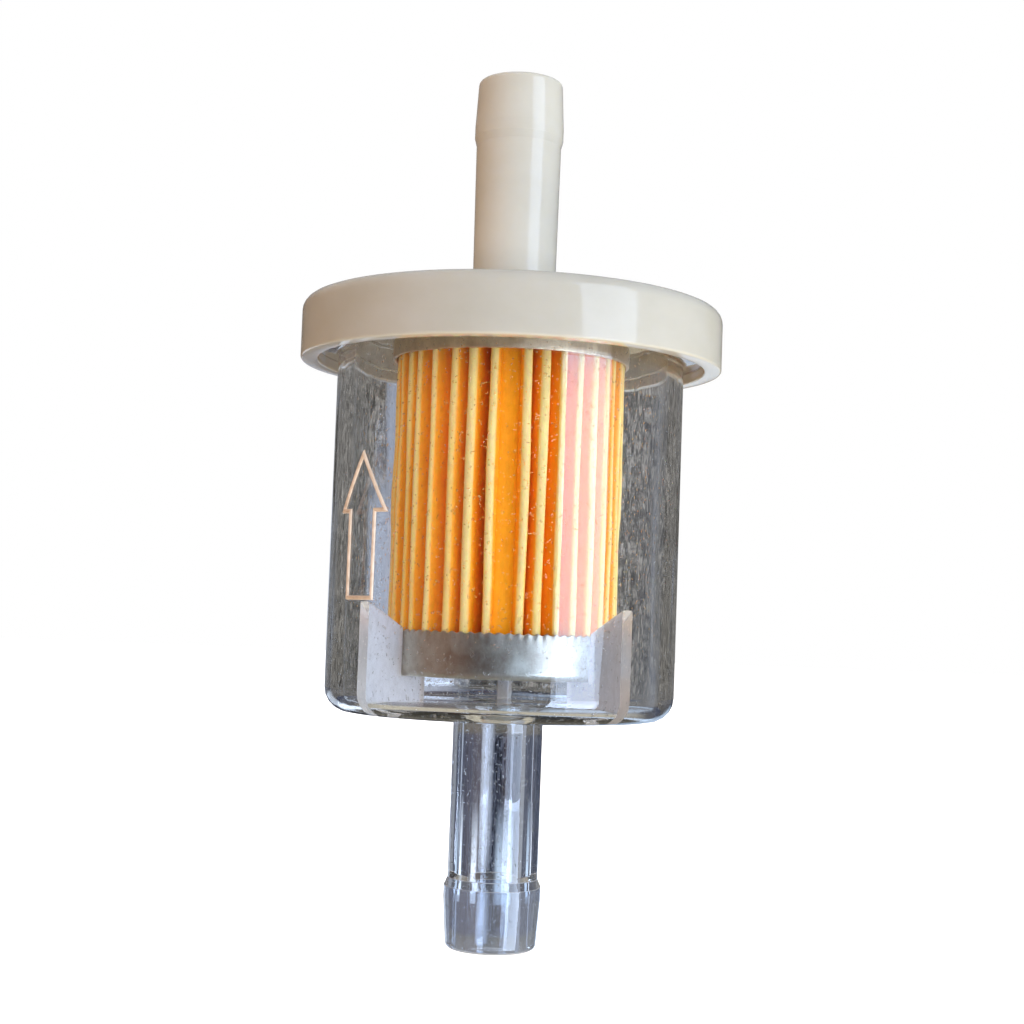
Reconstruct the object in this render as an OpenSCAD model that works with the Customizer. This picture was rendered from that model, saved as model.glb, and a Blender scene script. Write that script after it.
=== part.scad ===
// Inline fuel filter for small engines.
// A clear bowl with the inlet barb is welded to a white cap with the outlet barb.
// Between them stands a pleated paper element with a steel cap glued on each end.
// Fuel enters at the bottom, passes through the paper inwards and leaves at the top.
// Units are mm. +Z runs along the axis from inlet to outlet. The origin is on the
// axis at the tip of the inlet barb. -Y is the front, midway between two of the ribs.

/* [Bowl] */
// Outside diameter of the bowl
bowl_d = 35.1; // [34.8:0.1:35.8]
// Wall thickness of the bowl
bowl_wall = 1.7; // [1.4:0.1:2]
// Thickness of the bowl floor
floor_t = 1.3; // [1:0.1:1.6]
// Radius of the outside bottom edge
bowl_edge_r = 2.4; // [1.8:0.1:2.6]
// Height of the bowl from its outside bottom to its top face
bowl_h = 38.5; // [37:0.1:42]
// Diameter of the flange round the mouth of the bowl
bowl_flange_d = 39; // [38:0.1:39.4]
// Thickness of that flange
bowl_flange_t = 2.4; // [1.8:0.1:2.8]

/* [Ribs in the bowl] */
// Thickness of each rib
rib_t = 1.3; // [1:0.1:1.6]
// Angle between the two front ribs; the third rib is at the back
rib_spread = 97; // [80:1:140]
// Height of the seat for the element above the inside floor
seat_h = 2.6; // [2.2:0.1:3]
// How far the seat reaches inwards under the element
seat_w = 2.6; // [1.5:0.1:4]
// Height of the upright edge that centres the element
rib_guide_h = 4.6; // [3:0.1:6]
// Extra height of the rib where it meets the wall
rib_slope_h = 2.4; // [1:0.1:4]

/* [Flow arrow] */
// Angle of the arrow to the left of the front
arrow_azimuth = 48; // [0:1:90]
// Height of the arrow's foot above the outside bottom of the bowl
arrow_z = 11; // [6:0.1:16]
// Overall height of the arrow
arrow_h = 14.3; // [10:0.1:16]
// Width of the arrow head
arrow_head_w = 7.6; // [6:0.1:8]
// Height of the arrow head
arrow_head_h = 6; // [4:0.1:7]
// Width of the arrow shaft
arrow_shaft_w = 4.4; // [3:0.1:5]
// Width of the raised outline
arrow_line = 0.4; // [0.3:0.05:0.6]
// Height of the outline above the wall
arrow_raise = 0.25; // [0.15:0.05:0.4]

/* [Inlet barb] */
// Length of the inlet barb below the bowl
inlet_h = 23.1; // [20:0.1:26]
// Diameter of the shank
inlet_shank_d = 9; // [8.4:0.1:9.2]
// Diameter of the crest that grips the hose
inlet_crest_d = 9.7; // [9.4:0.1:10.2]
// Distance from the tip to the crest
inlet_crest_z = 5; // [3.5:0.1:6]

/* [Outlet cap] */
// Outside diameter of the cap
cap_d = 42.7; // [42.2:0.1:44]
// Height of the cap from its skirt to its top face
cap_h = 6.1; // [5.7:0.1:7]
// Thickness of the cap's disc
cap_disc_t = 2.8; // [2.4:0.1:3.2]
// Radius of the cap's top edge
cap_edge_r = 1.2; // [0.6:0.1:1.8]
// Diameter of the spigot inside the element
spigot_d = 8; // [7:0.1:8.4]
// Length of that spigot below the disc
spigot_h = 5; // [4:0.1:8]

/* [Outlet barb] */
// Length of the outlet barb above the cap
outlet_h = 23.6; // [20:0.1:26]
// Diameter of the shank below the crest
outlet_shank_d = 8.6; // [8.4:0.1:8.8]
// Diameter of the shank where it joins the cap
outlet_root_d = 8.4; // [8:0.1:8.8]
// Diameter of the crest that grips the hose
outlet_crest_d = 9.1; // [9:0.1:9.8]
// Distance from the tip to the crest
outlet_crest_z = 4.8; // [3.5:0.1:6]

/* [Both barbs] */
// Bore through each barb
bore_d = 5; // [4:0.1:5.6]
// Length of the crest at its full diameter
crest_land = 1.2; // [1:0.1:2]
// Length of the slope from the crest back to the shank
crest_back = 0.8; // [0.6:0.1:1.6]
// Radius of the rounded edge at the tip
tip_edge_r = 0.6; // [0.4:0.1:1]

/* [Steel end caps] */
// Outside diameter of both end caps
end_cap_d = 24.2; // [23.6:0.1:24.6]
// Height of the lower end cap
lower_cap_h = 4.5; // [3.5:0.1:5]
// Height of the upper end cap
upper_cap_h = 2.4; // [2:0.1:3]
// Thickness of the steel sheet
sheet_t = 0.35; // [0.3:0.05:0.5]
// Radius of the bent edge of each end cap
cap_bend_r = 0.6; // [0.4:0.1:0.8]

/* [Glue and seal] */
// Depth of glue in the lower end cap
lower_glue_t = 1.8; // [1:0.1:2.4]
// Depth of glue in the upper end cap
upper_glue_t = 1.1; // [0.8:0.1:1.6]
// Thickness of the rubber seal above the element
seal_t = 0.75; // [0.5:0.05:1]
// Outside diameter of that seal
seal_d = 15; // [12:0.1:18]

/* [Pleated paper] */
// Number of folds that point outwards
folds = 36; // [20:1:36]
// Angle of the seam panel to the right of the front
seam_azimuth = 3; // [-10:1:10]
// Angle taken up by the seam panel
seam_angle = 15; // [12:1:18]
// Depth of the folds
fold_depth = 5.1; // [4:0.1:5.1]
// Thickness of the paper
paper_t = 0.35; // [0.3:0.05:0.35]
// Depth of the seam panel below the tips of the folds
seam_depth = 1.2; // [0.6:0.1:1.6]

/* [Hidden] */
$fn = 96;
gap = 0.05;
eps = 0.01;
front = -90;
fold_gap = 0.2;
seam_bead_w = 1.6;
seam_bead_t = 0.5;
floor_z = inlet_h + floor_t;
seat_z = floor_z + seat_h;
joint_z = inlet_h + bowl_h;
top_z = joint_z + cap_disc_t;
skirt_z = top_z - cap_h;
overall_h = top_z + outlet_h;
bowl_r = bowl_d / 2;
bowl_bore_r = bowl_r - bowl_wall;
bore_r = bore_d / 2;
end_cap_r = end_cap_d / 2;
spigot_r = spigot_d / 2;
spigot_hole_r = spigot_r + 0.3;
rib_guide_r = end_cap_r + 2 * gap;
rib_angles = [front - rib_spread / 2, front + rib_spread / 2, front + 180];
upper_cap_top = joint_z - seal_t;
glue_r = end_cap_r - sheet_t - gap;
paper_r = glue_r - gap;
paper_z0 = seat_z + sheet_t + lower_glue_t;
paper_z1 = upper_cap_top - sheet_t - upper_glue_t;
fold_pitch = (360 - seam_angle) / (folds - 1);
fold_half = paper_t + fold_gap / 2;
valley_r = paper_r - fold_depth;
seam_r = paper_r - seam_depth;
seam_back_r = seam_r - 2 * paper_t;

// Half profile of a barb with its tip at z = 0 and its root at z = length.
module barb_profile(length, shank_d, root_d, crest_d, crest_z) {
    shank_r = shank_d / 2;
    crest_r = crest_d / 2;
    polygon([
        [0, tip_edge_r],
        [shank_r, tip_edge_r],
        [crest_r, crest_z],
        [crest_r, crest_z + crest_land],
        [shank_r, crest_z + crest_land + crest_back],
        [root_d / 2, length],
        [0, length]
    ]);
    square([shank_r - tip_edge_r, tip_edge_r + eps]);
    translate([shank_r - tip_edge_r, tip_edge_r]) circle(r = tip_edge_r);
}

// Ring between two radii, standing on z = z0.
module ring(outer_r, inner_r, z0, height) {
    translate([0, 0, z0]) difference() {
        cylinder(r = outer_r, h = height);
        translate([0, 0, -1]) cylinder(r = inner_r, h = height + 2);
    }
}

// Outline of the flow arrow, drawn in by the margin m, with its foot at y = 0.
module arrow_shape(m) {
    head_half = arrow_head_w / 2;
    shaft_half = arrow_shaft_w / 2;
    neck = arrow_h - arrow_head_h;
    flank = sqrt(head_half * head_half + arrow_head_h * arrow_head_h);
    tip_drop = m * flank / head_half;
    corner_in = m * (flank + head_half) / arrow_head_h;
    polygon([
        [-shaft_half + m, m],
        [shaft_half - m, m],
        [shaft_half - m, neck + m],
        [head_half - corner_in, neck + m],
        [0, arrow_h - tip_drop],
        [-head_half + corner_in, neck + m],
        [-shaft_half + m, neck + m]
    ]);
}

// Raised outline of the arrow on the outside of the bowl.
module flow_arrow() {
    foot_z = inlet_h + arrow_z;
    intersection() {
        ring(bowl_r + arrow_raise, bowl_r - bowl_wall / 2, foot_z - 1, arrow_h + 2);
        rotate([0, 0, -arrow_azimuth]) translate([0, 0, foot_z]) rotate([90, 0, 0])
            linear_extrude(height = bowl_d) difference() {
                arrow_shape(0);
                arrow_shape(arrow_line);
            }
    }
}

// One rib along +X: a seat under the element and an upright edge beside it.
module rib() {
    guide_z = seat_z + rib_guide_h;
    wall_mid_r = bowl_r - bowl_wall / 2;
    floor_mid_z = floor_z - floor_t / 2;
    translate([0, rib_t / 2, 0]) rotate([90, 0, 0]) linear_extrude(height = rib_t)
        polygon([
            [rib_guide_r - seat_w, floor_mid_z],
            [bowl_bore_r - 1, floor_mid_z],
            [bowl_bore_r - 1, floor_z],
            [wall_mid_r, floor_z + 2],
            [wall_mid_r, guide_z + rib_slope_h],
            [bowl_bore_r, guide_z + rib_slope_h],
            [rib_guide_r, guide_z],
            [rib_guide_r, seat_z],
            [rib_guide_r - seat_w, seat_z]
        ]);
}

module bowl() color([0.75, 0.8, 0.85, 0.45]) {
    edge_r = bowl_r - bowl_edge_r;
    difference() {
        union() {
            rotate_extrude() difference() {
                union() {
                    translate([0, inlet_h]) square([edge_r, bowl_h]);
                    translate([0, inlet_h + bowl_edge_r]) square([bowl_r, bowl_h - bowl_edge_r]);
                    translate([edge_r, inlet_h + bowl_edge_r]) circle(r = bowl_edge_r);
                }
                translate([0, floor_z]) square([bowl_bore_r, bowl_h]);
            }
            ring(bowl_flange_d / 2, bowl_bore_r, joint_z - bowl_flange_t, bowl_flange_t);
            rotate_extrude()
                barb_profile(inlet_h + eps, inlet_shank_d, inlet_shank_d, inlet_crest_d, inlet_crest_z);
            for (a = rib_angles) rotate([0, 0, a]) rib();
            flow_arrow();
        }
        translate([0, 0, -1]) cylinder(r = bore_r, h = floor_z + 2);
    }
}

module outlet_cap() color([0.88, 0.87, 0.83]) {
    cap_r = cap_d / 2;
    pocket_r = bowl_flange_d / 2 + 2 * gap;
    difference() {
        union() {
            difference() {
                rotate_extrude() union() {
                    translate([0, skirt_z]) square([cap_r, cap_h - cap_edge_r]);
                    translate([0, skirt_z]) square([cap_r - cap_edge_r, cap_h]);
                    translate([cap_r - cap_edge_r, top_z - cap_edge_r]) circle(r = cap_edge_r);
                }
                translate([0, 0, skirt_z - 1]) cylinder(r = pocket_r, h = joint_z - skirt_z + 1);
            }
            translate([0, 0, joint_z - spigot_h]) cylinder(r = spigot_r, h = spigot_h + eps);
            translate([0, 0, overall_h]) mirror([0, 0, 1]) rotate_extrude()
                barb_profile(outlet_h + eps, outlet_shank_d, outlet_root_d, outlet_crest_d, outlet_crest_z);
        }
        translate([0, 0, skirt_z - spigot_h]) cylinder(r = bore_r, h = overall_h);
    }
}

// A point at radius r and angle a.
function polar(r, a) = [r * cos(a), r * sin(a)];

// Two points at radius r, w to each side of the line at angle a.
function pair(r, a, w) = [polar(r, a - asin(w / r)), polar(r, a + asin(w / r))];

// Angle of outward fold number i, counted round from the seam panel.
function fold_angle(i) = front + seam_azimuth + seam_angle / 2 + i * fold_pitch;

// Both ends of the seam panel at radius r, w away from the folds beside it.
function seam_ends(r, w) = [polar(r, fold_angle(folds - 1) + asin(w / r)),
                            polar(r, fold_angle(0) + 360 - asin(w / r))];

// One side of the folded strip: the folds at tip_r and the valleys at root_r.
function folded_side(tip_r, tip_w, root_r, root_w, panel_r) = [
    for (i = [0 : folds - 1])
        each concat(
            pair(tip_r, fold_angle(i), tip_w),
            i < folds - 1 ? pair(root_r, fold_angle(i) + fold_pitch / 2, root_w)
                          : seam_ends(panel_r, tip_w)
        )
];

module pleated_paper() color([0.93, 0.6, 0.2])
    translate([0, 0, paper_z0]) linear_extrude(height = paper_z1 - paper_z0) difference() {
        polygon(folded_side(paper_r, fold_half, valley_r + paper_t, fold_gap / 2, seam_r));
        polygon(folded_side(paper_r - paper_t, fold_gap / 2, valley_r, fold_half, seam_back_r));
    }

// Bead of glue along the back of the seam panel.
module seam_glue() color([0.8, 0.55, 0.25]) {
    half_panel = seam_angle / 2 - asin(fold_gap / 2 / seam_back_r);
    panel_back = seam_back_r * cos(half_panel);
    rotate([0, 0, front + seam_azimuth]) translate([panel_back - seam_bead_t, -seam_bead_w / 2, paper_z0])
        cube([seam_bead_t, seam_bead_w, paper_z1 - paper_z0]);
}

// Dish of steel sheet with a bent edge, open at the top, standing on z = 0.
module dish(height) {
    bend_r = end_cap_r - cap_bend_r;
    rotate_extrude() difference() {
        union() {
            square([bend_r, height]);
            translate([0, cap_bend_r]) square([end_cap_r, height - cap_bend_r]);
            translate([bend_r, cap_bend_r]) circle(r = cap_bend_r);
        }
        translate([0, sheet_t]) square([end_cap_r - sheet_t, height]);
    }
}

module lower_end_cap() color([0.7, 0.7, 0.68])
    translate([0, 0, seat_z]) dish(lower_cap_h);

module upper_end_cap() color([0.7, 0.7, 0.68]) difference() {
    translate([0, 0, upper_cap_top]) mirror([0, 0, 1]) dish(upper_cap_h);
    translate([0, 0, upper_cap_top - 1]) cylinder(r = spigot_hole_r, h = 2);
}

module lower_glue() color([0.85, 0.75, 0.5])
    translate([0, 0, seat_z + sheet_t]) cylinder(r = glue_r, h = lower_glue_t);

module upper_glue() color([0.85, 0.75, 0.5])
    ring(glue_r, spigot_hole_r + 0.5, paper_z1, upper_glue_t);

module element_seal() color([0.15, 0.15, 0.15])
    ring(seal_d / 2, spigot_r + gap, upper_cap_top, seal_t);

bowl();
outlet_cap();
pleated_paper();
seam_glue();
lower_end_cap();
upper_end_cap();
lower_glue();
upper_glue();
element_seal();
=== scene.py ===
import math

import bmesh
import bpy
import numpy as np
from mathutils import Matrix, Vector


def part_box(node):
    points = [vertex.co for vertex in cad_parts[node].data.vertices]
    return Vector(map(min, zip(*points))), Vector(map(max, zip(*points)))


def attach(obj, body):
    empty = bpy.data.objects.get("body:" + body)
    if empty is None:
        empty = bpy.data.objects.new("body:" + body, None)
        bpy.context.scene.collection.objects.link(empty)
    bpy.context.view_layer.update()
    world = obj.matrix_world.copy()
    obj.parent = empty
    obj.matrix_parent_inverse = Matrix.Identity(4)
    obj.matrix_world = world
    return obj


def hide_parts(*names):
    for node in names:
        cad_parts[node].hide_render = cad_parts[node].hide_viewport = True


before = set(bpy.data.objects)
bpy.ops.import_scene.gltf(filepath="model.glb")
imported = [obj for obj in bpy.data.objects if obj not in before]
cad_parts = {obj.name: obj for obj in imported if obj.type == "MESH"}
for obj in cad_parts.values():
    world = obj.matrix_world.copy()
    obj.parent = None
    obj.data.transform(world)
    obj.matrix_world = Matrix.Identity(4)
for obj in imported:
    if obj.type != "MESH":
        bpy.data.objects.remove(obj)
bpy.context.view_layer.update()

MM = 0.001
TAU = 2 * math.pi
SEGMENTS = 288
HIDDEN_SEGMENTS = 144


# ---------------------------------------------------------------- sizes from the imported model

def node_size(name):
    """Lowest z, highest z and largest radius of a CAD node, in mm."""
    low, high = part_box(name)
    return low.z / MM, high.z / MM, high.x / MM


_, BOWL_Z1, FLANGE_R = node_size("bowl")
_, CAP_Z1, CAP_R = node_size("outlet_cap")
PAPER_Z0, PAPER_Z1, PAPER_R = node_size("pleated_paper")
DISH_Z0, DISH_Z1, DISH_R = node_size("lower_end_cap")
RING_Z0, RING_Z1, RING_R = node_size("upper_end_cap")
LGLUE_Z0, LGLUE_Z1, GLUE_R = node_size("lower_glue")
UGLUE_Z0, UGLUE_Z1, _ = node_size("upper_glue")
SEAL_Z0, SEAL_Z1, SEAL_R = node_size("element_seal")

# Sizes in mm that the frame doesn't hold. A drop is a depth below the outlet's tip.
BORE_R = 2.5
INLET_SHANK_R = 4.5
INLET_CREST_R = 4.85
INLET_CREST_Z = 5.0
INLET_LAND_Z = 6.2
INLET_SLOPE_Z = 7.0
OUTLET_ROOT_R = 4.2
OUTLET_SHANK_R = 4.35
OUTLET_TIP_R = 4.3
OUTLET_CREST_R = 4.55
OUTLET_CREST_DROP = 4.8
OUTLET_LAND_DROP = 6.0
OUTLET_SLOPE_DROP = 6.8
BOWL_R = 17.55
BOWL_BORE_R = 15.85
BOWL_BOTTOM = 23.1
BOWL_FLOOR = 24.4
FLANGE_Z0 = BOWL_Z1 - 2.4
DISC_TOP = 64.4
SKIRT_Z0 = 58.3
POCKET_R = FLANGE_R + 0.1
SPIGOT_R = 4.0
SPIGOT_H = 5.0
FRONT = -90.0
RIB_ANGLES = (FRONT - 48.5, FRONT + 48.5, FRONT + 180.0)
RIB_T = 1.3
RIB_GUIDE_R = DISH_R + 0.1
RIB_SEAT_R = RIB_GUIDE_R - 2.6
RIB_GUIDE_Z = DISH_Z0 + 4.6
RIB_WALL_Z = RIB_GUIDE_Z + 2.4
ARROW_AZIMUTH = FRONT - 48.0
ARROW_Z = 34.1
ARROW_H = 14.3
ARROW_HEAD_W = 7.6
ARROW_HEAD_H = 6.0
ARROW_SHAFT_W = 4.4
ARROW_LINE = 0.42
ARROW_RAISE = 0.24
SHEET_T = 0.35
# How close a point is to a surface to count as on it.
NEAR = 0.02


# ---------------------------------------------------------------- mesh tools

def rounded(corners, arc_steps=5, longest=1.5):
    """Closed profile of (r, z) points from (r, z, fillet radius) corners, with long runs divided."""
    corners = [np.array(c, float) for c in corners]
    out = []
    for i, corner in enumerate(corners):
        point, radius = corner[:2], corner[2]
        before = corners[i - 1][:2] - point
        after = corners[(i + 1) % len(corners)][:2] - point
        before /= np.linalg.norm(before)
        after /= np.linalg.norm(after)
        half = math.acos(float(np.clip(before @ after, -1, 1))) / 2
        if radius <= 0 or half > math.radians(89):
            out.append(point)
            continue
        reach = radius / math.tan(half)
        centre = point + (before + after) / np.linalg.norm(before + after) * radius / math.sin(half)
        start, end = point + before * reach - centre, point + after * reach - centre
        a0 = math.atan2(start[1], start[0])
        turn = (math.atan2(end[1], end[0]) - a0 + math.pi) % TAU - math.pi
        for k in range(arc_steps + 1):
            a = a0 + turn * k / arc_steps
            out.append(centre + radius * np.array([math.cos(a), math.sin(a)]))
    divided = []
    for i, p in enumerate(out):
        q = out[(i + 1) % len(out)]
        pieces = max(1, math.ceil(np.linalg.norm(q - p) / longest))
        divided += [p + (q - p) * k / pieces for k in range(pieces)]
    return divided


def new_object(name, verts, faces, sharp=35.0):
    """Mesh object from points in mm, smooth except at edges sharper than the given angle."""
    mesh = bpy.data.meshes.new(name)
    mesh.from_pydata([tuple(c * MM for c in v) for v in verts], [], faces)
    mesh.validate()
    obj = bpy.data.objects.new(name, mesh)
    bpy.context.scene.collection.objects.link(obj)
    fix_normals(obj, sharp)
    return obj


def fix_normals(obj, sharp=35.0):
    bm = bmesh.new()
    bm.from_mesh(obj.data)
    bmesh.ops.remove_doubles(bm, verts=bm.verts, dist=1e-7)
    bmesh.ops.recalc_face_normals(bm, faces=bm.faces)
    bm.to_mesh(obj.data)
    bm.free()
    obj.data.shade_smooth()
    obj.data.set_sharp_from_angle(angle=math.radians(sharp))


def turned_points(profile, segments, warp):
    """Points of a profile of (r, z) at each step round the axis. warp(r, z, angle) may move each point."""
    verts = []
    for a in np.arange(segments) * TAU / segments:
        for r, z in profile:
            rr, zz = warp(r, z, a) if warp else (r, z)
            verts.append((rr * math.cos(a), rr * math.sin(a), zz))
    return verts


def lathe(name, profile, segments=SEGMENTS, warp=None):
    """Closed profile of (r, z) points turned round the axis to a closed solid."""
    verts = turned_points(profile, segments, warp)
    n = len(profile)
    faces = []
    for s in range(segments):
        t = (s + 1) % segments
        for i in range(n):
            j = (i + 1) % n
            faces.append((s * n + i, t * n + i, t * n + j, s * n + j))
    return new_object(name, verts, faces)


def disc_lathe(name, profile, segments, warp=None):
    """Open profile that starts and ends on the axis, turned round it to a closed solid."""
    inner = [p for p in profile if p[0] > 1e-6]
    first, last = profile[0], profile[-1]
    verts = turned_points(inner, segments, warp)
    n = len(inner)
    bottom, top = len(verts), len(verts) + 1
    verts += [(0, 0, first[1]), (0, 0, last[1])]
    faces = []
    for s in range(segments):
        t = (s + 1) % segments
        faces += [(s * n + i, t * n + i, t * n + i + 1, s * n + i + 1) for i in range(n - 1)]
        faces.append((bottom, t * n, s * n))
        faces.append((top, s * n + n - 1, t * n + n - 1))
    return new_object(name, verts, faces)


def combine(target, tools):
    """Joins each tool to target. The tools are removed."""
    for tool in tools:
        mod = target.modifiers.new("join", "BOOLEAN")
        mod.operation = "UNION"
        mod.solver = "EXACT"
        mod.object = tool
        apply_modifiers(target)
        bpy.data.objects.remove(tool)


def apply_modifiers(obj):
    graph = bpy.context.evaluated_depsgraph_get()
    mesh = bpy.data.meshes.new_from_object(obj.evaluated_get(graph))
    obj.modifiers.clear()
    obj.data = mesh


def bevel(obj, width, steps):
    """Eases every edge sharper than 30 degrees."""
    mod = obj.modifiers.new("bevel", "BEVEL")
    mod.width = width * MM
    mod.segments = steps
    mod.limit_method = "ANGLE"
    mod.angle_limit = math.radians(30)
    apply_modifiers(obj)


def finish_piece(obj, materials, node):
    obj.data.materials.clear()
    for mat in materials:
        obj.data.materials.append(mat)
    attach(obj, "root")
    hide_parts(node)


# ---------------------------------------------------------------- material tools

class Nodes:
    """Short calls to build one node tree."""

    def __init__(self, tree):
        self.tree = tree
        tree.nodes.clear()

    def add(self, kind, values=None, **settings):
        node = self.tree.nodes.new(kind)
        for key, value in settings.items():
            setattr(node, key, value)
        for key, value in (values or {}).items():
            self.put(node, key, value)
        return node

    def put(self, node, key, value):
        socket = node.inputs[key]
        if isinstance(value, bpy.types.NodeSocket):
            self.tree.links.new(value, socket)
        elif isinstance(value, bpy.types.Node):
            self.tree.links.new(value.outputs[0], socket)
        else:
            socket.default_value = value

    def math(self, operation, a, b=0.0, c=0.0):
        return self.add("ShaderNodeMath", {0: a, 1: b, 2: c}, operation=operation)

    def noise(self, vector, scale, detail=4.0, roughness=0.55):
        return self.add("ShaderNodeTexNoise", {
            "Vector": vector, "Scale": scale, "Detail": detail, "Roughness": roughness})

    def ramp(self, value, stops):
        """Value mapped through (position, colour) stops."""
        node = self.add("ShaderNodeValToRGB", {0: value})
        elements = node.color_ramp.elements
        while len(elements) < len(stops):
            elements.new(0.5)
        for element, (position, colour) in zip(elements, stops):
            element.position = position
            element.color = (*colour, 1.0) if len(colour) == 3 else colour
        return node

    def grey(self, value, stops):
        return self.ramp(value, [(p, (v, v, v)) for p, v in stops])

    def mix(self, factor, a, b, blend="MIX"):
        node = self.add("ShaderNodeMix", data_type="RGBA", blend_type=blend)
        for index, value in ((0, factor), (6, a), (7, b)):
            if isinstance(value, tuple) and len(value) == 3:
                value = (*value, 1.0)
            self.put(node, index, value)
        return node.outputs[2]

    def scaled(self, vector, x, y, z):
        return self.add("ShaderNodeVectorMath", {0: vector, 1: (x, y, z)}, operation="MULTIPLY").outputs[0]

    def bump(self, height, strength, distance, normal=None):
        values = {"Height": height, "Strength": strength, "Distance": distance}
        if normal is not None:
            values["Normal"] = normal
        return self.add("ShaderNodeBump", values)


def material(name):
    mat = bpy.data.materials.new(name)
    mat.use_nodes = True
    nodes = Nodes(mat.node_tree)
    place = nodes.add("ShaderNodeTexCoord").outputs["Object"]
    return mat, nodes, place


def output(nodes, shader):
    nodes.add("ShaderNodeOutputMaterial", {"Surface": shader})


def radius_from_axis(nodes, place):
    """Distance of each point from the axis, in metres."""
    flat = nodes.scaled(place, 1, 1, 0)
    return nodes.add("ShaderNodeVectorMath", {0: flat}, operation="LENGTH").outputs["Value"]


# ---------------------------------------------------------------- materials

def moulded_plastic(name, colour, clearness, roughness):
    """See-through plastic with flow streaks and scuffs. Light and soft light go straight through."""
    mat, nodes, place = material(name)
    waves = nodes.noise(nodes.scaled(place, 160, 160, 40), 1.0, 2)
    streaks = nodes.noise(nodes.scaled(place, 900, 900, 60), 1.0, 3)
    scuffs = nodes.noise(nodes.scaled(place, 2600, 2600, 1100), 1.0, 3, 0.6)
    pits = nodes.grey(nodes.noise(place, 2700, 1, 0.5), [(0.70, 0.0), (0.735, 1.0)])
    shape = nodes.bump(waves, 0.22, 0.0004)
    shape = nodes.bump(streaks, 0.05, 0.00006, shape)
    shape = nodes.bump(pits, 0.8, 0.00004, shape)
    haze = nodes.ramp(scuffs, [(0.46, colour), (0.66, tuple(0.90 * c for c in colour))])
    plastic = nodes.add("ShaderNodeBsdfPrincipled", {"Base Color": haze, "Normal": shape})
    plastic.inputs["Roughness"].default_value = roughness
    plastic.inputs["IOR"].default_value = 1.52
    plastic.inputs["Transmission Weight"].default_value = clearness
    path = nodes.add("ShaderNodeLightPath")
    through = nodes.math("MAXIMUM", path.outputs["Is Shadow Ray"], path.outputs["Is Diffuse Ray"])
    open_way = nodes.add("ShaderNodeBsdfTransparent", {"Color": (0.97, 0.97, 0.97, 1)})
    output(nodes, nodes.add("ShaderNodeMixShader", {0: through, 1: plastic, 2: open_way}))
    return mat


def arrow_line():
    """The raised clear arrow catches light all along its rounded ridge; that light is painted in as pale
    opaque matt lines, a painted highlight.
    """
    mat, nodes, place = material("arrow_line")
    ridge_grain_and_painted_highlight = nodes.noise(place, 1500, 4)
    # Painted highlight: pale beige stands in for the light the clear ridge catches; the noise makes the
    # highlight patchy and gives the ridge a fine grain.
    colour = nodes.ramp(ridge_grain_and_painted_highlight, [(0.3, (0.62, 0.50, 0.42)), (0.7, (0.80, 0.69, 0.62))])
    shader = nodes.add("ShaderNodeBsdfPrincipled", {
        "Base Color": colour, "Normal": nodes.bump(ridge_grain_and_painted_highlight, 0.3, 0.00004)})
    shader.inputs["Roughness"].default_value = 0.35
    output(nodes, shader)
    return mat


def white_nylon():
    mat, nodes, place = material("natural_nylon")
    clouds = nodes.noise(nodes.scaled(place, 140, 140, 220), 1.0, 4)
    grain = nodes.noise(place, 5200, 3, 0.6)
    dirt = nodes.noise(place, 900, 5, 0.7)
    tall = nodes.add("ShaderNodeSeparateXYZ", {0: place}).outputs["Z"]
    # Painted light: from 63 mm up to 70 mm the colour blends into a lighter copy of itself, so the outlet
    # barb is painted brighter than the cap body, standing in for the stronger light that falls on it.
    barb_painted_light_mask = nodes.add("ShaderNodeMapRange", {"Value": tall, "From Min": 0.063, "From Max": 0.070})
    cap_body_colour = nodes.ramp(clouds, [(0.30, (0.47, 0.485, 0.475)), (0.70, (0.51, 0.53, 0.535))])
    barb_painted_lighter_colour = nodes.ramp(clouds, [(0.30, (0.56, 0.575, 0.56)), (0.70, (0.60, 0.62, 0.615))])
    colour = nodes.mix(barb_painted_light_mask, cap_body_colour.outputs[0], barb_painted_lighter_colour.outputs[0])
    colour = nodes.mix(nodes.grey(dirt, [(0.66, 0.0), (0.80, 0.25)]), colour, (0.46, 0.41, 0.33))
    rough = nodes.grey(clouds, [(0.3, 0.07), (0.7, 0.11)])
    shape = nodes.bump(grain, 0.05, 0.00002)
    shape = nodes.bump(clouds, 0.12, 0.0002, shape)
    shader = nodes.add("ShaderNodeBsdfPrincipled", {
        "Base Color": colour, "Roughness": rough, "Normal": shape})
    shader.inputs["Specular IOR Level"].default_value = 0.32
    shader.inputs["Subsurface Weight"].default_value = 0.4
    shader.inputs["Subsurface Radius"].default_value = (1.0, 0.85, 0.6)
    shader.inputs["Subsurface Scale"].default_value = 0.0008
    output(nodes, shader)
    return mat


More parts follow.
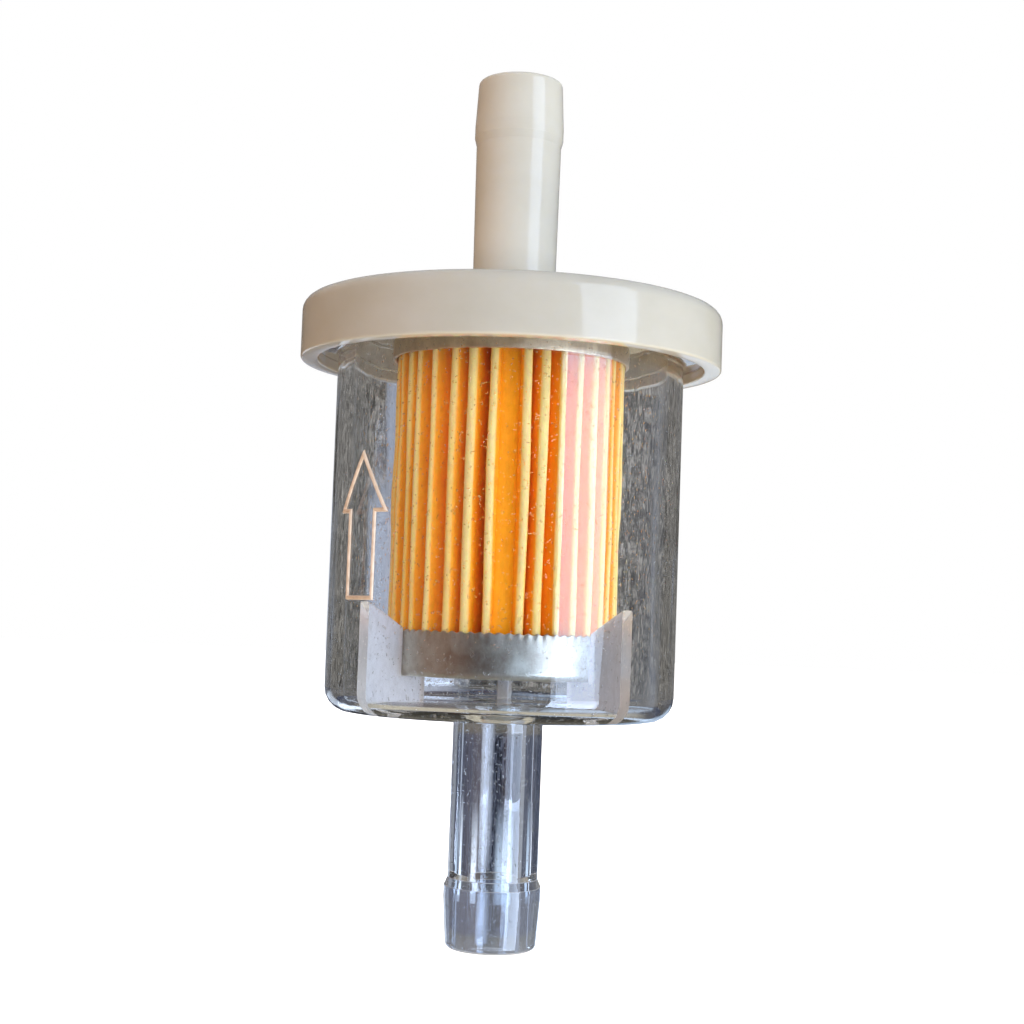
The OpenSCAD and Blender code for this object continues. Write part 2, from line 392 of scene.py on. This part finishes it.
def filter_paper():
    mat, nodes, place = material("pleated_paper")
    radius = radius_from_axis(nodes, place)
    depth = nodes.add("ShaderNodeMapRange", {
        "Value": radius, "From Min": (PAPER_R - 2.4) * MM, "From Max": PAPER_R * MM})
    fibres = nodes.noise(nodes.scaled(place, 2600, 2600, 900), 1.0, 5, 0.7)
    blotch = nodes.noise(nodes.scaled(place, 260, 260, 150), 1.0, 3)
    shifted = nodes.math("ADD", depth, nodes.math("MULTIPLY", nodes.math("SUBTRACT", fibres, 0.5), 0.07))
    colour = nodes.ramp(shifted, [
        (0.00, (1.00, 0.40, 0.004)), (0.60, (1.00, 0.45, 0.008)),
        (0.86, (0.98, 0.46, 0.030)), (0.92, (0.90, 0.70, 0.26)), (0.97, (0.86, 0.76, 0.38))])
    stain = nodes.grey(blotch, [(0.35, 0.0), (0.75, 0.30)])
    colour = nodes.mix(stain, colour.outputs[0], (0.94, 0.66, 0.45), "MULTIPLY")
    shape = nodes.bump(fibres, 0.5, 0.00006)
    shader = nodes.add("ShaderNodeBsdfPrincipled", {
        "Base Color": colour, "Normal": shape})
    shader.inputs["Roughness"].default_value = 0.75
    shader.inputs["Specular IOR Level"].default_value = 0.3
    shader.inputs["Subsurface Weight"].default_value = 0.35
    shader.inputs["Subsurface Radius"].default_value = (1.0, 0.30, 0.03)
    shader.inputs["Subsurface Scale"].default_value = 0.0006
    output(nodes, shader)
    return mat


def tin_plate(name, dull, bright):
    mat, nodes, place = material(name)
    brushed = nodes.noise(nodes.scaled(place, 900, 900, 5200), 1.0, 3)
    smears = nodes.noise(nodes.scaled(place, 330, 330, 260), 1.0, 5, 0.7)
    specks = nodes.noise(place, 2200, 2, 0.5)
    colour = nodes.ramp(smears, [(0.34, dull), (0.64, bright)])
    rough = nodes.grey(smears, [(0.3, 0.36), (0.7, 0.50)])
    shape = nodes.bump(brushed, 0.10, 0.00004)
    shape = nodes.bump(nodes.grey(specks, [(0.66, 0.0), (0.72, 1.0)]), 0.25, 0.00003, shape)
    shape = nodes.bump(smears, 0.15, 0.0001, shape)
    shader = nodes.add("ShaderNodeBsdfPrincipled", {
        "Base Color": colour, "Roughness": rough, "Normal": shape})
    shader.inputs["Metallic"].default_value = 1.0
    output(nodes, shader)
    return mat


def set_glue():
    mat, nodes, place = material("set_glue")
    clouds = nodes.noise(place, 700, 4)
    colour = nodes.ramp(clouds, [(0.3, (0.55, 0.36, 0.14)), (0.7, (0.74, 0.56, 0.28))])
    shader = nodes.add("ShaderNodeBsdfPrincipled", {
        "Base Color": colour, "Normal": nodes.bump(clouds, 0.4, 0.0002)})
    shader.inputs["Roughness"].default_value = 0.35
    output(nodes, shader)
    return mat


def seal_rubber():
    mat, nodes, place = material("seal_rubber")
    grain = nodes.noise(place, 3000, 3)
    colour = nodes.ramp(grain, [(0.3, (0.02, 0.02, 0.02)), (0.7, (0.045, 0.045, 0.045))])
    shader = nodes.add("ShaderNodeBsdfPrincipled", {
        "Base Color": colour, "Normal": nodes.bump(grain, 0.3, 0.00005)})
    shader.inputs["Roughness"].default_value = 0.6
    output(nodes, shader)
    return mat


# ---------------------------------------------------------------- the moulded bowl

def bowl_profile():
    return rounded([
        (BORE_R, 0.0, 0.25), (INLET_SHANK_R, 0.0, 0.6), (INLET_CREST_R, INLET_CREST_Z, 0.3),
        (INLET_CREST_R, INLET_LAND_Z, 0.1), (INLET_SHANK_R, INLET_SLOPE_Z, 0.15),
        (INLET_SHANK_R, BOWL_BOTTOM, 0.5), (BOWL_R, BOWL_BOTTOM, 2.4),
        (BOWL_R, FLANGE_Z0, 0.35), (FLANGE_R, FLANGE_Z0, 0.2), (FLANGE_R, BOWL_Z1, 0.1),
        (BOWL_BORE_R, BOWL_Z1, 0.2), (BOWL_BORE_R, BOWL_FLOOR, 0.9), (BORE_R, BOWL_FLOOR, 0.3)])


def rib_solid(angle):
    """One rib with eased edges, sunk a little into the wall and the floor."""
    wall_r = BOWL_BORE_R + 0.5
    floor_z = BOWL_FLOOR - 0.4
    outline = [
        (RIB_SEAT_R, floor_z), (wall_r - 1.2, floor_z), (wall_r, floor_z + 1.2),
        (wall_r, RIB_WALL_Z + 0.2), (BOWL_BORE_R, RIB_WALL_Z), (RIB_GUIDE_R, RIB_GUIDE_Z),
        (RIB_GUIDE_R, DISH_Z0), (RIB_SEAT_R, DISH_Z0)]
    n = len(outline)
    verts = [(r, side * RIB_T / 2, z) for side in (-1, 1) for r, z in outline]
    faces = [tuple(range(n)), tuple(range(2 * n - 1, n - 1, -1))]
    faces += [(i, n + i, n + (i + 1) % n, (i + 1) % n) for i in range(n)]
    rib = new_object("rib", verts, faces)
    bevel(rib, 0.15, 3)
    rib.data.transform(Matrix.Rotation(math.radians(angle), 4, "Z"))
    return rib


def arrow_outline(margin):
    """Corners of the arrow as (across, up), drawn in by the margin."""
    head, shaft = ARROW_HEAD_W / 2, ARROW_SHAFT_W / 2
    neck = ARROW_H - ARROW_HEAD_H
    flank = math.hypot(head, ARROW_HEAD_H)
    tip = ARROW_H - margin * flank / head
    corner = head - margin * (flank + head) / ARROW_HEAD_H
    return [(-shaft + margin, margin), (shaft - margin, margin), (shaft - margin, neck + margin),
            (corner, neck + margin), (0, tip), (-corner, neck + margin), (-shaft + margin, neck + margin)]


def arrow_solid():
    """Raised outline wrapped on the wall: a ridge with a rounded top."""
    sunk, foot, shoulder = -0.25, 0.02, 0.17
    steps = [(0.0, sunk), (0.0, foot), (0.08, shoulder), (ARROW_LINE / 2, ARROW_RAISE),
             (0.34, shoulder), (ARROW_LINE, foot), (ARROW_LINE, sunk)]
    divisions = 12
    loops = []
    for margin, lift in steps:
        corners = arrow_outline(margin)
        points = []
        for i, (x0, y0) in enumerate(corners):
            x1, y1 = corners[(i + 1) % len(corners)]
            for k in range(divisions):
                t = k / divisions
                points.append((x0 + (x1 - x0) * t, y0 + (y1 - y0) * t))
        loops.append([(x, y, BOWL_R + lift) for x, y in points])
    verts = []
    centre = math.radians(ARROW_AZIMUTH)
    for loop in loops:
        for x, y, r in loop:
            a = centre + x / BOWL_R
            verts.append((r * math.cos(a), r * math.sin(a), ARROW_Z + y))
    n = len(loops[0])
    count = len(loops)
    faces = []
    for j in range(count):
        k = (j + 1) % count
        faces += [(j * n + i, j * n + (i + 1) % n, k * n + (i + 1) % n, k * n + i) for i in range(n)]
    return new_object("arrow", verts, faces)


def round_wall_normals(obj):
    """Exact normals on both walls, so that the joins with the ribs and the arrow don't dent the shine."""
    mesh = obj.data
    normals = []
    for face in mesh.polygons:
        centre = face.center
        out = Vector((centre.x, centre.y, 0)).normalized()
        facing = face.normal.dot(out)
        for loop_index in face.loop_indices:
            v = mesh.vertices[mesh.loops[loop_index].vertex_index].co
            r = math.hypot(v.x, v.y) / MM
            on_wall = abs(r - BOWL_R) < NEAR or abs(r - BOWL_BORE_R) < NEAR
            if abs(facing) > 0.999 and on_wall:
                side = 1 if facing > 0 else -1
                normals.append(Vector((v.x, v.y, 0)).normalized() * side)
            else:
                normals.append(mesh.corner_normals[loop_index].vector.copy())
    mesh.normals_split_custom_set(normals)


def mark_bowl_faces(bowl):
    """Gives faces other materials: the ribs and worn edges, the arrow's ridge with its painted highlight,
    the scuffed barb end.
    """
    matt, ridge, scuffed = 1, 2, 3
    barb_outside_r = 3.7
    centre = math.radians(ARROW_AZIMUTH)
    for face in bowl.data.polygons:
        x, y, z = (c / MM for c in face.center)
        r = math.hypot(x, y)
        if r < BOWL_BORE_R - NEAR and z > BOWL_FLOOR + NEAR:
            for angle in (math.radians(a) for a in RIB_ANGLES):
                along = x * math.cos(angle) + y * math.sin(angle)
                across = abs(y * math.cos(angle) - x * math.sin(angle))
                if along > 0 and across < RIB_T / 2 + NEAR:
                    face.material_index = matt
        outside = r > barb_outside_r
        worn_edge = min(abs(z - INLET_SLOPE_Z), abs(z - INLET_LAND_Z)) < 0.09 and r > 4.4
        worn_lip = z < 0.3 and outside
        if worn_edge or worn_lip:
            face.material_index = matt
        elif z < INLET_LAND_Z and outside:
            face.material_index = scuffed
        near_arrow = abs(math.remainder(math.atan2(y, x) - centre, TAU)) * r < ARROW_HEAD_W
        if near_arrow and r > BOWL_R + 0.012 and z < ARROW_Z + ARROW_H + 1:
            face.material_index = ridge


def make_bowl():
    bowl = lathe("bowl_clear", bowl_profile())
    combine(bowl, [rib_solid(a) for a in RIB_ANGLES] + [arrow_solid()])
    fix_normals(bowl, 32)
    round_wall_normals(bowl)
    clear = moulded_plastic("clear_plastic", (0.95, 0.955, 0.96), 1.0, 0.0)
    frosted = moulded_plastic("matt_rib_faces", (0.60, 0.65, 0.76), 0.66, 0.3)
    scuffed = moulded_plastic("scuffed_tip", (0.70, 0.80, 0.96), 0.92, 0.03)
    finish_piece(bowl, [clear, frosted, arrow_line(), scuffed], "bowl")
    mark_bowl_faces(bowl)


# ---------------------------------------------------------------- the cap

def make_cap():
    top = CAP_Z1
    spigot_z = BOWL_Z1 - SPIGOT_H
    profile = rounded([
        (BORE_R, top, 0.3), (BORE_R, spigot_z, 0.2), (SPIGOT_R, spigot_z, 0.4),
        (SPIGOT_R, BOWL_Z1, 0.2), (POCKET_R, BOWL_Z1, 0.2), (POCKET_R, SKIRT_Z0, 0.15),
        (CAP_R, SKIRT_Z0, 0.25), (CAP_R, DISC_TOP, 1.3), (OUTLET_ROOT_R, DISC_TOP, 0.8),
        (OUTLET_SHANK_R, top - OUTLET_SLOPE_DROP, 0.12), (OUTLET_CREST_R, top - OUTLET_LAND_DROP, 0.12),
        (OUTLET_CREST_R, top - OUTLET_CREST_DROP, 0.3), (OUTLET_TIP_R, top, 0.55)], 6)
    cap = lathe("cap_white", profile)
    finish_piece(cap, [white_nylon()], "outlet_cap")


# ---------------------------------------------------------------- the pleated paper

FOLDS = 36
SEAM_CENTRE = FRONT + 3.0
SEAM_ANGLE = 15.0
SEAM_DEPTH = 1.2
FOLD_PITCH = (360.0 - SEAM_ANGLE) / (FOLDS - 1)
FOLD_DEPTH = 5.1
PAPER_T = 0.35
# How far the folds seen from the front stand from even spacing, in degrees, counted from the seam panel.
SHIFTS_RIGHT = (0.6, -0.6, -1.2, -1.4, -1.2, -1.9, -4.0, -3.0)
SHIFTS_LEFT = (0.0, -0.7, -0.5, -2.2, -2.6)


def paper_line(random):
    """Middle line of the folded strip as (r, angle, fold number) for one turn, starting at the seam."""
    tip_r = PAPER_R - PAPER_T / 2
    root_r = PAPER_R - FOLD_DEPTH + PAPER_T / 2
    seam_r = PAPER_R - SEAM_DEPTH - PAPER_T
    tip_w = 0.24
    root_w = 0.16
    first = SEAM_CENTRE + SEAM_ANGLE / 2
    points = []
    shifts = list(random.uniform(-1.2, 1.2, FOLDS))
    shifts[:len(SHIFTS_RIGHT)] = SHIFTS_RIGHT
    shifts[-len(SHIFTS_LEFT):] = SHIFTS_LEFT[::-1]
    for i in range(FOLDS):
        a = first + i * FOLD_PITCH + shifts[i]
        width = tip_w * random.uniform(0.8, 1.5)
        reach = tip_r - random.uniform(0.0, 0.12)
        for t in np.linspace(-90, 90, 7):
            w = width * math.sin(math.radians(t))
            drop = width * (1 - math.cos(math.radians(t)))
            points.append((reach - drop, a + math.degrees(w / tip_r), i))
        if i < FOLDS - 1:
            m = first + (i + 0.5) * FOLD_PITCH + (shifts[i] + shifts[i + 1]) / 2
            for t in np.linspace(0, 180, 5):
                w = -root_w * math.cos(math.radians(t))
                rise = root_w * (1 - math.sin(math.radians(t)))
                points.append((root_r + rise, m + math.degrees(w / root_r), i + 0.5))
    a0 = points[0][1] + 360
    a1 = points[-1][1]
    for t in np.linspace(0.06, 0.94, 9):
        points.append((seam_r, a1 + (a0 - a1) * t, -1))
    return points


def unit_rows(vectors):
    return vectors / np.linalg.norm(vectors, axis=1)[:, None]


def make_paper():
    """Folded strip, thick on both sides of its middle line. Each fold sways a little on the way up."""
    random = np.random.default_rng(11)
    line = paper_line(random)
    levels = 44
    n = len(line)
    sways = FOLDS * 2 + 2
    sway = random.normal(0, 1, (sways, 4))
    outer, inner = [], []
    heights = np.linspace(PAPER_Z0, PAPER_Z1, levels)
    for z in heights:
        t = (z - PAPER_Z0) / (PAPER_Z1 - PAPER_Z0)
        ring = []
        for r, a, fold in line:
            k = int(round(fold * 2)) % sways
            c = sway[k]
            hold = min(1.0, 6 * t * (1 - t) + 0.15)
            swing = 0.25 * (c[0] * math.sin(3.1 * t + c[1]) + 0.6 * math.sin(8.3 * t + 2 * c[2])) * hold
            dent = 0.05 * math.sin(5.7 * t + 3 * c[3]) * hold
            rr = min(r + dent * (1 if fold == int(fold) else 0), PAPER_R - PAPER_T / 2)
            ring.append((rr * math.cos(math.radians(a + swing)), rr * math.sin(math.radians(a + swing))))
        ring = np.array(ring)
        ahead = np.roll(ring, -1, 0) - ring
        behind = ring - np.roll(ring, 1, 0)
        along = unit_rows(unit_rows(ahead) + unit_rows(behind))
        side = np.stack([along[:, 1], -along[:, 0]], 1) * PAPER_T / 2
        outer.append(ring + side)
        inner.append(ring - side)
    verts = []
    for layer in (outer, inner):
        for ring, z in zip(layer, heights):
            verts += [(x, y, z) for x, y in ring]
    faces = []
    base = n * levels
    for k in range(levels - 1):
        for i in range(n):
            j = (i + 1) % n
            low_i, low_j, high_i, high_j = k * n + i, k * n + j, (k + 1) * n + i, (k + 1) * n + j
            faces.append((low_i, low_j, high_j, high_i))
            faces.append((base + low_j, base + low_i, base + high_i, base + high_j))
    for k, flip in ((0, False), (levels - 1, True)):
        for i in range(n):
            j = (i + 1) % n
            quad = (k * n + j, k * n + i, base + k * n + i, base + k * n + j)
            faces.append(quad[::-1] if flip else quad)
    paper = new_object("paper_pleats", verts, faces, 60)
    finish_piece(paper, [filter_paper()], "pleated_paper")


# ---------------------------------------------------------------- steel dishes, glue and seal

CRIMPS = 84
DISH_SEGMENTS = 6 * CRIMPS


def crimped(rim_z, inward, depth):
    """Warp that presses small teeth into the rim of a dish. inward is -1 or +1, towards its closed side."""
    def warp(r, z, a):
        near = max(0.0, 1.0 - abs(z - rim_z) / 0.5)
        tooth = 0.5 + 0.5 * math.cos(a * CRIMPS)
        return r - 0.4 * depth * near * tooth, z + inward * depth * near * tooth
    return warp


def make_lower_dish():
    t, r = SHEET_T, DISH_R
    profile = rounded([
        (0.0, DISH_Z0, 0), (r, DISH_Z0, 0.8), (r, DISH_Z1, 0.12),
        (r - t, DISH_Z1, 0.12), (r - t, DISH_Z0 + t, 0.45), (0.0, DISH_Z0 + t, 0)], 5, 0.7)
    profile = [p for p in profile if p[0] > 1e-6]
    profile = [(0, DISH_Z0)] + profile + [(0, DISH_Z0 + t)]
    dish = disc_lathe("lower_dish", profile, DISH_SEGMENTS, crimped(DISH_Z1, -1, 0.18))
    finish_piece(dish, [TIN], "lower_end_cap")


def make_upper_dish():
    t, r = SHEET_T, RING_R
    hole = SPIGOT_R + 0.3
    profile = rounded([
        (hole, RING_Z1, 0.1), (hole, RING_Z1 - t, 0.1), (r - t, RING_Z1 - t, 0.4), (r - t, RING_Z0, 0.1),
        (r, RING_Z0, 0.1), (r, RING_Z1, 0.7)], 5, 0.7)
    dish = lathe("upper_dish", profile, DISH_SEGMENTS, crimped(RING_Z0, 1, 0.03))
    # Painted shade and reflection: the dish gets the tan-tinted copy of the tin.
    finish_piece(dish, [TIN_PAINTED_SHADE_AND_REFLECTION], "upper_end_cap")


def make_glue():
    lower = rounded([
        (0.0, LGLUE_Z0, 0), (GLUE_R, LGLUE_Z0, 0.2), (GLUE_R, LGLUE_Z1, 0.2), (0.0, LGLUE_Z1, 0)], 4)
    lower = [p for p in lower if p[0] > 1e-6]
    bed = disc_lathe("lower_glue_bed", [(0, LGLUE_Z0)] + lower + [(0, LGLUE_Z1)], HIDDEN_SEGMENTS)
    finish_piece(bed, [GLUE], "lower_glue")
    hole = SPIGOT_R + 0.8
    upper = rounded([
        (hole, UGLUE_Z0, 0.2), (GLUE_R, UGLUE_Z0, 0.2), (GLUE_R, UGLUE_Z1, 0.2), (hole, UGLUE_Z1, 0.2)], 4)
    ring = lathe("upper_glue_ring", upper, HIDDEN_SEGMENTS)
    finish_piece(ring, [GLUE], "upper_glue")


def make_seal():
    hole = SPIGOT_R + 0.05
    profile = rounded([
        (hole, SEAL_Z0, 0.15), (SEAL_R, SEAL_Z0, 0.15), (SEAL_R, SEAL_Z1, 0.15), (hole, SEAL_Z1, 0.15)], 4)
    seal = lathe("seal_ring", profile, HIDDEN_SEGMENTS)
    finish_piece(seal, [seal_rubber()], "element_seal")


def make_seam_bead():
    """Uneven bead of glue behind the seam panel."""
    random = np.random.default_rng(5)
    low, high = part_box("seam_glue")
    a = math.radians(SEAM_CENTRE)
    out = np.array([math.cos(a), math.sin(a)])
    across = np.array([-out[1], out[0]])
    corners = [Vector((x, y, 0)) for x in (low.x, high.x) for y in (low.y, high.y)]
    top_r = max(c.xy.dot(Vector(out)) for c in corners) / MM - 0.05
    bead_w = 0.68
    bead_t = 0.21
    sunk = 0.25
    levels, steps = 60, 10
    verts, faces = [], []
    for k in range(levels):
        z = PAPER_Z0 + (PAPER_Z1 - PAPER_Z0) * k / (levels - 1)
        half = bead_w + 0.08 * random.normal()
        for i in range(steps):
            t = TAU * i / steps
            deep = bead_t * math.sin(t) - sunk
            p = out * (top_r + deep) + across * half * math.cos(t)
            verts.append((p[0], p[1], z))
    for k in range(levels - 1):
        for i in range(steps):
            j = (i + 1) % steps
            faces.append((k * steps + i, k * steps + j, (k + 1) * steps + j, (k + 1) * steps + i))
    faces.append(tuple(range(steps))[::-1])
    faces.append(tuple((levels - 1) * steps + i for i in range(steps)))
    finish_piece(new_object("seam_bead", verts, faces, 60), [GLUE], "seam_glue")


TIN = tin_plate("tin_plate", (0.40, 0.35, 0.29), (0.62, 0.63, 0.565))
# Painted shade and reflection: the upper dish is the same tin as the lower one, painted tan and olive to
# stand in for the shade under the skirt and the tan underside of the cap that it reflects.
TIN_PAINTED_SHADE_AND_REFLECTION = tin_plate("tin_plate_painted_shade_and_reflection", (0.62, 0.50, 0.34), (0.86, 0.74, 0.54))
GLUE = set_glue()
make_bowl()
make_cap()
make_paper()
make_lower_dish()
make_upper_dish()
make_glue()
make_seal()
make_seam_bead()


# ---------------------------------------------------------------- camera

# Lengths in mm, from the axis and above the inlet's tip, and angles in degrees.
CAMERA_AZIMUTH = 3.0
CAMERA_DISTANCE = 175.2
CAMERA_HEIGHT = 32.35
CAMERA_PITCH = 3.70
CAMERA_ROLL = 2.07
CAMERA_YAW = -0.21
CAMERA_LENS = 60.78


def make_camera():
    data = bpy.data.cameras.new("camera")
    data.sensor_width = 36
    data.lens = CAMERA_LENS
    data.clip_start = 0.01
    data.clip_end = 20
    camera = bpy.data.objects.new("camera", data)
    bpy.context.scene.collection.objects.link(camera)
    turn = Matrix.Rotation(math.radians(CAMERA_AZIMUTH), 3, "Z")
    yaw, pitch, roll = (math.radians(v) for v in (CAMERA_YAW, CAMERA_PITCH, CAMERA_ROLL))
    ahead_flat = turn @ Vector((-math.sin(yaw), math.cos(yaw), 0))
    right = turn @ Vector((math.cos(yaw), math.sin(yaw), 0))
    up_flat = Vector((0, 0, 1))
    ahead = ahead_flat * math.cos(pitch) + up_flat * math.sin(pitch)
    up = up_flat * math.cos(pitch) - ahead_flat * math.sin(pitch)
    x = right * math.cos(roll) + up * math.sin(roll)
    y = up * math.cos(roll) - right * math.sin(roll)
    place = turn @ Vector((0, -CAMERA_DISTANCE * MM, 0)) + Vector((0, 0, CAMERA_HEIGHT * MM))
    basis = Matrix((x, y, -ahead)).transposed().to_4x4()
    camera.matrix_world = Matrix.Translation(place) @ basis
    bpy.context.scene.camera = camera


# ---------------------------------------------------------------- light and floor

def direction(azimuth, elevation):
    """Unit vector from the filter: azimuth 0 is the front, positive to the right."""
    a, e = math.radians(azimuth), math.radians(elevation)
    return Vector((math.sin(a) * math.cos(e), -math.cos(a) * math.cos(e), math.sin(e)))


def area_light(name, azimuth, elevation, distance, width, height, radiance, colour, shows_in="DIFFUSE"):
    """Soft light aimed at the filter. It either lights matt surfaces or shows in shiny and clear ones."""
    data = bpy.data.lights.new(name, "AREA")
    data.shape = "RECTANGLE"
    data.size = width
    data.size_y = height
    data.energy = radiance * width * height * math.pi
    data.color = colour
    light = bpy.data.objects.new(name, data)
    bpy.context.scene.collection.objects.link(light)
    target = Vector((0, 0, 0.045))
    way = direction(azimuth, elevation)
    light.location = target + way * distance
    light.rotation_euler = (-way).to_track_quat("-Z", "Y").to_euler()
    light.visible_camera = False
    light.visible_diffuse = shows_in == "DIFFUSE"
    light.visible_glossy = shows_in == "MIRROR"
    light.visible_transmission = shows_in == "MIRROR"


def make_lights():
    right = CAMERA_AZIMUTH + 51.5
    blue = (0.62, 0.76, 1.0)
    area_light("window", right, 14, 0.60, 0.34, 0.50, 6.0, blue, "MIRROR")
    area_light("window_sill", right, -21, 0.60, 0.34, 0.27, 11.5, blue, "MIRROR")
    area_light("window_glow", right - 6, 8, 0.60, 0.40, 0.62, 2.9, (1.0, 0.99, 0.975))
    area_light("front_fill", CAMERA_AZIMUTH + 8, 4, 0.80, 0.60, 0.60, 2.6, (1.0, 0.985, 0.955))
    area_light("left_fill", CAMERA_AZIMUTH - 72, 0, 0.70, 0.50, 0.50, 2.4, (1.0, 0.54, 0.22))
    area_light("top_fill", CAMERA_AZIMUTH + 20, 78, 0.80, 0.60, 0.60, 0.9, (1.0, 0.99, 0.97))
    area_light("back_fill", CAMERA_AZIMUTH + 180, 25, 0.80, 0.60, 0.60, 1.5, (1.0, 0.99, 0.97))
    area_light("table_bounce", CAMERA_AZIMUTH + 84, -60, 0.50, 0.50, 0.50, 4.4, (1.0, 0.85, 0.60))


def make_world():
    """Camera sees white. Matt surfaces get a soft glow, warmer at the left. The rest see a dim workshop."""
    world = bpy.data.worlds.new("studio")
    bpy.context.scene.world = world
    world.use_nodes = True
    nodes = Nodes(world.node_tree)
    way = nodes.add("ShaderNodeTexCoord").outputs["Generated"]
    parts = nodes.add("ShaderNodeSeparateXYZ", {0: way})
    side, up = parts.outputs["X"], parts.outputs["Z"]
    behind = nodes.math("ARCTAN2", side, parts.outputs["Y"])
    grit = nodes.noise(way, 130, 4, 0.75)
    clutter = nodes.noise(nodes.scaled(way, 6, 6, 1.6), 1.0, 3, 0.6)
    height = nodes.math("MULTIPLY_ADD", up, 0.5, 0.5)
    level = nodes.ramp(height, [
        (0.16, (0.55, 0.51, 0.41)), (0.26, (0.34, 0.33, 0.30)), (0.31, (0.06, 0.065, 0.085)),
        (0.466, (0.06, 0.07, 0.105)), (0.482, (0.125, 0.12, 0.11)), (0.62, (0.15, 0.145, 0.14)),
        (0.80, (0.45, 0.46, 0.48))])
    gain = nodes.math("ADD", nodes.grey(grit, [(0.40, 0.1), (0.50, 0.7), (0.60, 3.2)]),
                      nodes.grey(clutter, [(0.35, 0.0), (0.65, 0.35)]))
    clutter_height = nodes.grey(height, [(0.30, 0.0), (0.40, 1.0)])
    room = nodes.mix(clutter_height, level.outputs[0], gain, "MULTIPLY")
    turn = nodes.math("MULTIPLY_ADD", behind, 0.5 / math.pi, 0.5)

    def between(value, stops):
        return nodes.grey(value, list(zip(stops, (0.0, 1.0, 1.0, 0.0))))

    def patch(room, sideways, colour, upright=None):
        """Soft-edged patch of one colour. Sideways, 0 and 1 are in front. Upright, 0.5 is level."""
        mask = between(turn, sideways)
        if upright:
            mask = nodes.math("MULTIPLY", mask, between(height, upright))
        return nodes.mix(mask, room, colour)

    front_shade = nodes.grey(turn, [(0.20, 0.75), (0.27, 0.0), (0.74, 0.0), (0.80, 0.75)])
    room = nodes.mix(front_shade, room, (0.02, 0.02, 0.02))
    room = patch(room, (0.05, 0.10, 0.20, 0.27), (0.40, 0.23, 0.15))
    room = patch(room, (0.632, 0.645, 0.715, 0.745), (0.34, 0.37, 0.43))
    room = patch(room, (0.72, 0.75, 0.80, 0.845), (0.52, 0.55, 0.60))

    # Pale upright things behind the filter, seen through it.
    low = (0.25, 0.28, 0.43, 0.45)
    room = patch(room, (0.390, 0.402, 0.438, 0.448), (1.30, 1.50, 1.80), low)
    room = patch(room, (0.494, 0.503, 0.550, 0.560), (0.72, 0.92, 1.20), low)
    room = patch(room, (0.448, 0.458, 0.480, 0.488), (0.45, 0.52, 0.66), (0.42, 0.44, 0.530, 0.545))
    room = patch(room, (0.460, 0.464, 0.477, 0.481), (0.38, 0.44, 0.56), (0.530, 0.545, 0.60, 0.62))
    room = patch(room, (0.585, 0.600, 0.620, 0.635), (0.30, 0.27, 0.22), (0.572, 0.582, 0.65, 0.70))
    path = nodes.add("ShaderNodeLightPath")
    across = nodes.math("MULTIPLY_ADD", side, 0.5, 0.5)
    glow = nodes.ramp(across, [
        (0.1, (0.24, 0.15, 0.085)), (0.45, (0.30, 0.275, 0.24)), (0.9, (0.36, 0.36, 0.35))])
    seen = nodes.mix(path.outputs["Is Diffuse Ray"], room, glow.outputs[0])
    seen = nodes.mix(path.outputs["Is Camera Ray"], seen, (1.0, 1.0, 1.0))
    nodes.add("ShaderNodeOutputWorld", {"Surface": nodes.add("ShaderNodeBackground", {"Color": seen})})


def make_floor():
    mesh = bpy.data.meshes.new("floor")
    half = 1.5
    corners = [(-half, -half, 0), (half, -half, 0), (half, half, 0), (-half, half, 0)]
    mesh.from_pydata(corners, [], [(0, 1, 2, 3)])
    floor = bpy.data.objects.new("floor", mesh)
    floor.location.z = -0.0001
    bpy.context.scene.collection.objects.link(floor)
    mat, nodes, place = material("pale_floor")
    cloud = nodes.noise(place, 8, 3)
    colour = nodes.ramp(cloud, [(0.3, (0.88, 0.88, 0.88)), (0.7, (0.92, 0.92, 0.92))])
    matte = nodes.add("ShaderNodeBsdfDiffuse", {"Color": colour})
    glow = nodes.add("ShaderNodeEmission", {"Color": (1, 1, 1, 1), "Strength": 1.1})
    output(nodes, nodes.add("ShaderNodeAddShader", {0: matte, 1: glow}))
    mesh.materials.append(mat)
    floor.visible_glossy = False
    floor.visible_transmission = False
    floor.visible_diffuse = False
    floor.visible_shadow = False


make_camera()
make_lights()
make_world()
make_floor()

scene = bpy.context.scene
scene.view_settings.view_transform = "Standard"
scene.view_settings.look = "None"
scene.cycles.max_bounces = 24
scene.cycles.transmission_bounces = 20
scene.cycles.transparent_max_bounces = 24
scene.cycles.glossy_bounces = 8
scene.cycles.diffuse_bounces = 5
scene.cycles.sample_clamp_indirect = 8.0
scene.cycles.caustics_reflective = False
scene.cycles.caustics_refractive = False
